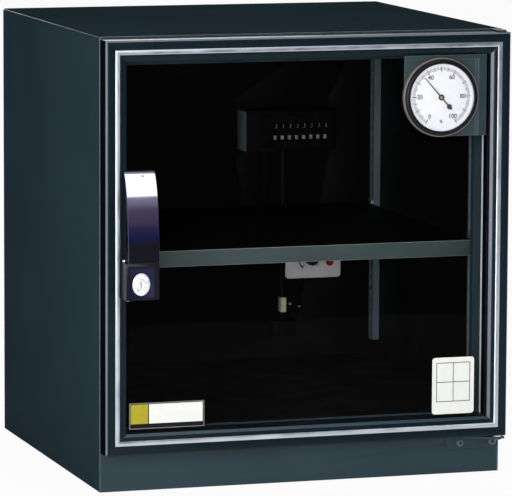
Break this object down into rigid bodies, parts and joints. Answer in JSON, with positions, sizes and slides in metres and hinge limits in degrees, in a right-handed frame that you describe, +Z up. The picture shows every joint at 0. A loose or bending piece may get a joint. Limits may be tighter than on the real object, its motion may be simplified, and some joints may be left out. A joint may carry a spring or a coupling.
{
  "type": "camera dry cabinet",
  "caption": "Desktop camera dry cabinet with a hinged glass door, pull handle with key lock, dial hygrometer, lift-out shelf and dryer unit",
  "frame": {"origin": "middle of the footprint of the steel body, on the table", "axes": "x to the right seen from the door, y to the back, z up"},
  "size_m": [0.4, 0.4123, 0.43],
  "materials": {
    "painted_steel": "satin",
    "frame_paint": "gloss",
    "zinc_steel": "satin",
    "bright_trim": "polished",
    "shelf_enamel": "satin",
    "post_steel": "satin",
    "clear_glass": "polished",
    "black_rubber": "matte",
    "grey_vinyl": "matte",
    "gloss_navy": "gloss",
    "black_plastic": "matte",
    "pale_plastic": "satin",
    "cream_nylon": "satin",
    "red_lens": "gloss",
    "plate_paint": "satin",
    "contact_brass": "polished",
    "desiccant_white": "matte"
  },
  "bodies": {
    "cabinet": {"outer_wrap": "painted_steel", "back_panel": "painted_steel", "left_jamb": "painted_steel", "right_jamb": "painted_steel", "header": "painted_steel", "plinth_panel": "painted_steel", "chamber_floor": "painted_steel", "base_panel": "painted_steel", "rubber_feet": "black_rubber", "lower_hinge_bracket": "painted_steel", "upper_hinge_bracket": "painted_steel", "hinge_pins": "zinc_steel", "hinge_screws": "zinc_steel", "lock_keeper": "zinc_steel", "front_left_post": "post_steel", "front_right_post": "post_steel", "rear_left_post": "post_steel", "rear_right_post": "post_steel", "shelf_clips": "zinc_steel", "dryer_housing": "black_plastic", "dryer_base": "black_plastic", "desiccant_cartridge": "desiccant_white", "dryer_heater": "zinc_steel", "shutter_actuator": "contact_brass", "dryer_screws": "zinc_steel", "control_box": "black_plastic", "control_plate": "pale_plastic", "humidistat": "black_plastic", "power_lamp": "red_lens", "inner_lead": "black_rubber", "lead_clip": "cream_nylon", "clip_plate": "black_plastic", "clip_screws": "zinc_steel", "rear_vent_cover": "black_plastic", "mains_inlet": "black_plastic", "inlet_pins": "contact_brass", "rear_screws": "zinc_steel"},
    "door": {"left_stile": "frame_paint", "right_stile": "frame_paint", "top_rail": "frame_paint", "bottom_rail": "frame_paint", "bead": "bright_trim", "corner_keys": "zinc_steel", "pivot_bushes": "cream_nylon", "glass_pane": "clear_glass", "glazing_gasket": "black_rubber", "door_seal": "grey_vinyl", "handle_bow": "gloss_navy", "lock_housing": "gloss_navy", "lock_barrel": "bright_trim", "handle_fixings": "zinc_steel", "hygrometer_plate": "plate_paint", "hygrometer_case": "black_plastic", "hygrometer_bezel": "black_plastic"},
    "lock": {"lock_plug": "bright_trim", "lock_cam": "zinc_steel"},
    "needle": {"hygrometer_needle": "black_plastic"},
    "knob": {"humidity_knob": "black_plastic"},
    "shelf": {"shelf": "shelf_enamel"},
    "shutter": {"shutter_plate": "zinc_steel"}
  },
  "joints": [
    {"name": "door_swing", "type": "hinge", "parent": "cabinet", "child": "door", "pos_m": [0.193, -0.195, 0.2], "axis": [0, 0, 1], "range_deg": [0, 115]},
    {"name": "lock_turn", "type": "hinge", "parent": "door", "child": "lock", "pos_m": [-0.1715, -0.2, 0.203], "axis": [0, 1, 0], "range_deg": [0, 90]},
    {"name": "needle_turn", "type": "hinge", "parent": "door", "child": "needle", "pos_m": [0.1286, -0.205, 0.3679], "axis": [0, 1, 0], "range_deg": [-106, 189]},
    {"name": "knob_turn", "type": "hinge", "parent": "cabinet", "child": "knob", "pos_m": [0.1215, 0.15, 0.1667], "axis": [0, 1, 0], "range_deg": [-135, 135]},
    {"name": "shelf_lift", "type": "slide", "parent": "cabinet", "child": "shelf", "axis": [0, 0, 1], "range_m": [0, 0.012]},
    {"name": "shutter_slide", "type": "slide", "parent": "cabinet", "child": "shutter", "axis": [1, 0, 0], "range_m": [0, 0.0035]}
  ]
}
